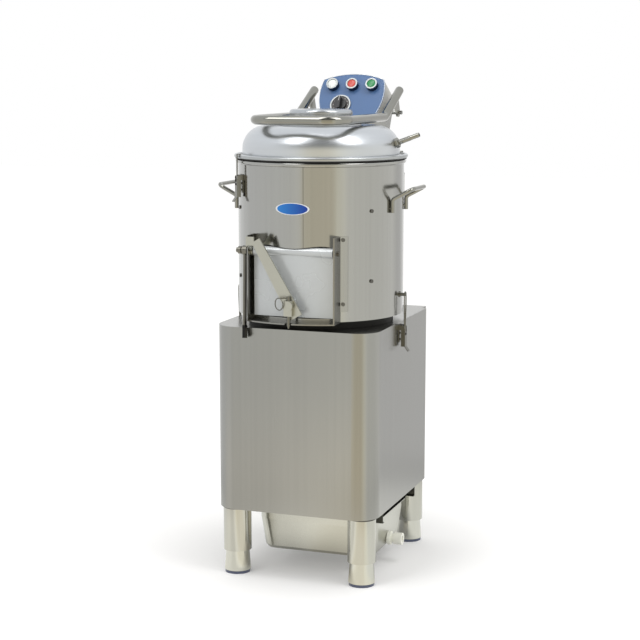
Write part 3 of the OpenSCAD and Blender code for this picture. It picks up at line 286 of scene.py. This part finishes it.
housing = brushed("cast_housing", (0.55, 0.56, 0.56), 0.5, grain=(160, 160, 160), depth=0.0001)
give(housing, "bearing_housing", "driven_pulley", "motor_pulley")
motor = plastic("motor_paint", (0.10, 0.13, 0.17), 0.42, grain=180, depth=0.0001)
give(motor, "motor_body")

dark = plastic("dark_plastic", (0.014, 0.013, 0.011), 0.55)
dark.set(Specular_IOR_Level=0.3)
give(dark, "drum_base_ring", "cable_gland", "switch_blocks")
rubber = plastic("black_rubber", (0.022, 0.022, 0.021), 0.75, grain=500, depth=0.0001)
give(rubber, "drive_belt", "lid_gasket")

grit = Tree("abrasive_grit")
grain = grit.noise(grit.coord, 420, 4.0, 0.7)
grit.set(Base_Color=grit.mix(grain, (0.10, 0.095, 0.085), (0.34, 0.32, 0.29)), Roughness=0.95)
grit.bump(grain, 1.0, 0.0012)
give(grit, "abrasive_liner", "abrasive_disc")

# ---------------------------------------------------------------- control box, buttons, badge and spigot

blue = plastic("panel_blue", (0.075, 0.155, 0.33), 0.36, grain=700, vary=0.12)
blue.set(Specular_IOR_Level=0.4)
give(blue, "control_panel")
box_paint = plastic("box_paint", (0.45, 0.45, 0.425), 0.38)
give(box_paint, "control_box")

# The bezels' sides below the pale front ring carry a painted dark-blue reflection of the panel and painted shade
bezels = brushed("bezel_chrome", (0.33, 0.345, 0.345), 0.34, grain=(1600, 1600, 1600), depth=0.000001, streak=0.03)
_, y, z = bezels.axes()
y, z = bezels.math("SUBTRACT", y, PANEL_AT.y), bezels.math("SUBTRACT", z, PANEL_AT.z)
up = bezels.math("MULTIPLY_ADD", y, PANEL_UP.y, bezels.math("MULTIPLY", z, PANEL_UP.z))
out = bezels.math("MULTIPLY_ADD", y, PANEL_OUT.y, bezels.math("MULTIPLY", z, PANEL_OUT.z))
bezel_side_painted_reflection = bezels.math("MULTIPLY", bezels.remap(up, BUTTON_ROW, BUTTON_ROW + 0.001, 0, 1),
                   bezels.remap(out, BEZEL_SIDE_TOP, BEZEL_SIDE_TOP + 0.0005, 1, 0))
bezels.over(bezel_side_painted_reflection, (0.05, 0.075, 0.12))
give(bezels, "control_bezels")

# The badge is a blue oval with a pale rim. Its blue is painted paler to the left and darker to the right: painted
# light across the enamel
badge = Tree("badge_enamel")
x, _, z = badge.axes()
u = badge.math("DIVIDE", x, BADGE_WIDE)
v = badge.math("DIVIDE", badge.math("SUBTRACT", z, BADGE_MID), BADGE_HIGH)
oval = badge.math("ADD", badge.math("MULTIPLY", u, u), badge.math("MULTIPLY", v, v))
rim = badge.remap(oval, 0.80, 0.84, 0.0, 1.0)
enamel_painted_light = badge.mix(badge.remap(x, 0.036, -0.04, 0, 1), (0.008, 0.045, 0.31), (0.03, 0.23, 0.64))
badge.set(Base_Color=badge.mix(rim, enamel_painted_light, (0.80, 0.82, 0.84)), Roughness=0.22, Specular_IOR_Level=0.3)
badge.bump(badge.math("SUBTRACT", 1.0, rim), 0.4, 0.0002)
give(badge, "badge_plate")

give(plastic("white_plastic", (0.97, 0.97, 0.88), 0.32, vary=0.02), "pan_spigot")
give(plastic("lamp_lens", (0.86, 0.90, 0.88), 0.18), "pilot_lamp")
give(plastic("stop_red", (0.60, 0.085, 0.065), 0.16), "stop_button")
give(plastic("start_green", (0.035, 0.27, 0.09), 0.22), "start_button")
give(plastic("knob_black", (0.02, 0.02, 0.022), 0.35), "timer_knob")


# ---------------------------------------------------------------- thin pieces on the control panel

def on_panel(u, v, w):
    """A point of the panel's own frame: across, up along the face, and out of the face."""
    return PANEL_AT + Vector((u, 0, 0)) + PANEL_UP * v + PANEL_OUT * w


def flat_piece(name, outlines, low, high, tree, body="stand"):
    """One piece of flat bands or plates between two heights over the face. Each outline is an outer
    loop and the loop of its hole, or None."""
    bm = bmesh.new()
    for outer, hole in outlines:
        loops = [(outer, low), (outer, high)] + ([(hole, high), (hole, low)] if hole else [])
        rows = [[bm.verts.new(on_panel(u, v, w)) for u, v in loop] for loop, w in loops]
        if hole:
            walls = zip(rows, rows[1:] + rows[:1])
        else:
            walls = [rows]
            bm.faces.new(rows[1])
            bm.faces.new(rows[0][::-1])
        for a, b in walls:
            for i in range(len(outer)):
                j = (i + 1) % len(outer)
                bm.faces.new((a[i], a[j], b[j], b[i]))
    bmesh.ops.recalc_face_normals(bm, faces=bm.faces)
    data = bpy.data.meshes.new(name)
    bm.to_mesh(data)
    bm.free()
    data.materials.append(tree.mat)
    piece = add(name, data)
    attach(piece, body)


# The panel's outline: an arc at the top, an arc at each side and a straight lower edge
TOP_CENTRE_V, TOP_RADIUS = -0.102, 0.209
SIDE_CENTRE_U, SIDE_CENTRE_V, SIDE_RADIUS = -0.044, 0.052, 0.130
LOWER_EDGE_V, PANEL_MIDDLE_V = -0.012, 0.045


def inside_panel(u, v, inset):
    """Whether a point lies inside the panel's outline, drawn in by the inset."""
    top = u * u + (v - TOP_CENTRE_V) ** 2 < (TOP_RADIUS - inset) ** 2
    sides = (abs(u) - SIDE_CENTRE_U) ** 2 + (v - SIDE_CENTRE_V) ** 2 < (SIDE_RADIUS - inset) ** 2
    return top and sides and v > LOWER_EDGE_V + inset


def panel_loop(inset, count=180):
    """The panel's outline drawn in by the inset, found along rays from its middle by halving."""
    loop = []
    for i in range(count):
        a = 2 * pi * i / count
        near, far = 0.0, 0.2
        for _ in range(24):
            mid = (near + far) / 2
            if inside_panel(mid * cos(a), PANEL_MIDDLE_V + mid * sin(a), inset):
                near = mid
            else:
                far = mid
        loop.append((near * cos(a), PANEL_MIDDLE_V + near * sin(a)))
    return loop


def dial_loop(radius, count=72):
    """A circle round the dial's middle."""
    turns = [2 * pi * i / count for i in range(count)]
    return [(DIAL_U + radius * cos(a), DIAL_V + radius * sin(a)) for a in turns]


def dial_bar(degrees, start, end, half):
    """A narrow plate on the dial, from one radius to another."""
    c, s = cos(radians(degrees)), sin(radians(degrees))
    corners = (start, -half), (end, -half), (end, half), (start, half)
    return [(DIAL_U + r * c - k * s, DIAL_V + r * s + k * c) for r, k in corners], None


rim_steel = brushed("panel_rim_steel", (0.42, 0.44, 0.46), 0.36, grain=(900, 900, 900), depth=0.000004, streak=0.05)
flat_piece("panel_rim", [(panel_loop(0.0004), panel_loop(0.0015))], 0.0, 0.0007, rim_steel)

dial = plastic("dial_plastic", (0.09, 0.08, 0.078), 0.4)
flat_piece("timer_dial", [(dial_loop(0.0232), dial_loop(0.0050))], 0.0012, 0.0016, dial)

# Eleven marks over 300 degrees, every fifth a little longer
mark_paint = plastic("mark_paint", (0.80, 0.80, 0.78), 0.4)
marks = [dial_bar(240 - 30 * i, 0.0180, 0.0205 if i % 5 else 0.0215, 0.00045) for i in range(11)]
flat_piece("timer_marks", marks, 0.0015, 0.0018, mark_paint)

# The knob's pointer turns with it
flat_piece("timer_pointer", [dial_bar(90, 0.003, 0.0148, 0.0005)], 0.0199, 0.0202, mark_paint, "timer")

for part in nodes.values():
    for face in part.data.polygons:
        face.use_smooth = True

# ---------------------------------------------------------------- studio

# The white that the camera sees on the floor beside its shaded colour: close to the object, and far away. The
# smaller white close to the object is painted shade that deepens the shadow round and under it
LIFT_NEAR, LIFT_FAR = 0.18, 0.40
# The room's even light on all that isn't a reflection
FILL = 0.80
# What metal sees round the horizon: degrees from the camera's side, and colour
ROOM = [
    (-180, (1, 1, 1)), (-150, (0.96, 0.97, 0.98)), (-110, (0.90, 0.91, 0.92)), (-60, (0.91, 0.92, 0.91)),
    (-40, (0.90, 0.905, 0.88)), (-28, (0.97, 0.97, 0.92)), (-25, (0.86, 0.81, 0.66)), (16, (0.86, 0.80, 0.65)),
    (21, (1.02, 1.00, 0.85)), (29, (1.12, 1.10, 0.98)), (36, (0.99, 0.99, 0.94)), (70, (0.94, 0.94, 0.90)),
    (116, (1.0, 1.0, 0.98)), (129, (0.76, 0.76, 0.755)), (148, (0.76, 0.76, 0.76)), (156, (0.98, 0.98, 0.98)),
    (180, (1, 1, 1))]
# Higher up: pale at the sides, darker over the camera
HIGH_SIDE, HIGH_FRONT = (0.92, 0.94, 0.96), (0.22, 0.225, 0.22)
# What metal sees of the floor: a painted pool of light close to the object, and the tint of the room's colours on
# it further out
NEAR_FLOOR = (1.10, 1.11, 1.07)
TINT_BACK, TINT_FRONT = (1.02, 1.02, 1.02), (1.27, 1.21, 1.13)
# Uneven light on the floor: middle, half width and soft edge in degrees, and how much it changes
UNEVEN = [(-47, 6, 8, -0.11), (-28, 5, 6, 0.09)]
FLOOR_HALF = 14.0


def surroundings(g, x, y):
    """The room's colour in the direction x, y, and the angle from the camera's side."""
    turn = g.math("SUBTRACT", g.math("ARCTAN2", x, g.math("MULTIPLY", y, -1.0)), AZ)
    turn = g.math("WRAP", turn, pi, -pi)
    ramp = g.node("ShaderNodeValToRGB", {"Fac": g.remap(turn, -pi, pi, 0, 1)})
    stops = ramp.color_ramp.elements
    while len(stops) < len(ROOM):
        stops.new(0.5)
    for stop, (degrees, colour) in zip(stops, ROOM):
        stop.position = degrees / 360 + 0.5
        stop.color = (*colour, 1)
    return ramp.outputs[0], turn


# The camera sees a white floor with the object's shadow. Metal sees it in the room's colours, with a painted pool
# of light close to the object and a painted shadow under it.
corners = [(-FLOOR_HALF, -FLOOR_HALF, 0), (FLOOR_HALF, -FLOOR_HALF, 0),
           (FLOOR_HALF, FLOOR_HALF, 0), (-FLOOR_HALF, FLOOR_HALF, 0)]
floor = add("floor", bpy.data.meshes.new("floor"))
floor.data.from_pydata(corners, [], [(0, 1, 2, 3)])
floor_mat = bpy.data.materials.new("floor")
floor_mat.use_nodes = True
floor.data.materials.append(floor_mat)

g = Graph(floor_mat.node_tree)
g.nt.nodes.clear()
x, y, _ = g.xyz("Object")
ray = g.node("ShaderNodeLightPath").outputs
away = g.length(x, y)
white = g.node("ShaderNodeBsdfDiffuse", {"Color": (0.80, 0.80, 0.80)}).outputs[0]
lift = g.math("MULTIPLY", ray["Is Camera Ray"], g.remap(away, 0.25, 0.6, LIFT_NEAR, LIFT_FAR))
plain = g.node("ShaderNodeAddShader", {0: white, 1: g.emission((1, 1, 1), lift)}).outputs[0]

around, turn = surroundings(g, x, y)
front = g.math("MULTIPLY", g.remap(away, 0.9, 2.6, 1, 0), g.band(turn, radians(-30), radians(45), radians(25)))
tint = g.mix(front, TINT_BACK, TINT_FRONT)
around = g.node("ShaderNodeVectorMath", {0: around, 1: tint}, operation="MULTIPLY").outputs[0]
mirrored = g.mix(g.remap(away, 0.6, 1.2, 0.45, 1), NEAR_FLOOR, around)

level = 1.0
for middle, half, soft, amount in UNEVEN:
    strip = g.band(turn, radians(middle), radians(half), radians(soft))
    level = g.math("MULTIPLY_ADD", strip, amount, level)
level = g.mix(g.remap(away, 2.8, 4.0, 1, 0), (1, 1, 1), level)
# Painted shadow: the floor that metal sees goes dark under the object
level = g.math("MULTIPLY", level, g.remap(away, 0.16, 0.31, 0.3, 1.0))
# Painted shade: a darker ring about a metre out, for the shade at the legs' tops
level = g.math("MULTIPLY", level, g.math("MULTIPLY_ADD", g.band(away, 0.98, 0.1, 0.12), -0.16, 1.0))
last = g.node("ShaderNodeMixShader", {0: ray["Is Glossy Ray"], 1: plain, 2: g.emission(mirrored, level)})
g.node("ShaderNodeOutputMaterial", {"Surface": last.outputs[0]})

# The room is white all round for the camera
world = bpy.data.worlds.new("studio")
bpy.context.scene.world = world
world.use_nodes = True
g = Graph(world.node_tree)
g.nt.nodes.clear()
x, y, z = g.xyz("Generated")
around, turn = surroundings(g, x, y)
high = g.mix(g.band(turn, 0.0, radians(32), radians(45)), HIGH_SIDE, HIGH_FRONT)
around = g.mix(g.remap(z, 0.15, 0.5, 0, 1), around, high)
room, fill, backdrop = [
    g.node("ShaderNodeBackground", {"Color": colour, "Strength": strength}).outputs[0]
    for colour, strength in ((around, 1.0), ((1.0, 0.99, 0.97), FILL), ((1, 1, 1), 1.0))]
ray = g.node("ShaderNodeLightPath").outputs
lit = g.node("ShaderNodeMixShader", {0: ray["Is Glossy Ray"], 1: fill, 2: room})
last = g.node("ShaderNodeMixShader", {0: ray["Is Camera Ray"], 1: lit.outputs[0], 2: backdrop})
g.node("ShaderNodeOutputWorld", {"Surface": last.outputs[0]})


def softbox(name, place, at, size, power):
    light = bpy.data.lights.new(name, "AREA")
    light.shape = "RECTANGLE"
    light.size, light.size_y = size
    light.energy = power
    aim(add(name, light), place, at)


softbox("softbox_left", (-0.62, -1.35, 3.25), (0, -0.1, 0.95), (0.9, 2.4), 24)
softbox("softbox_right", (1.5, -0.6, 3.0), (0, -0.05, 0.95), (1.0, 2.0), 21)

bpy.context.scene.view_settings.view_transform = "Standard"
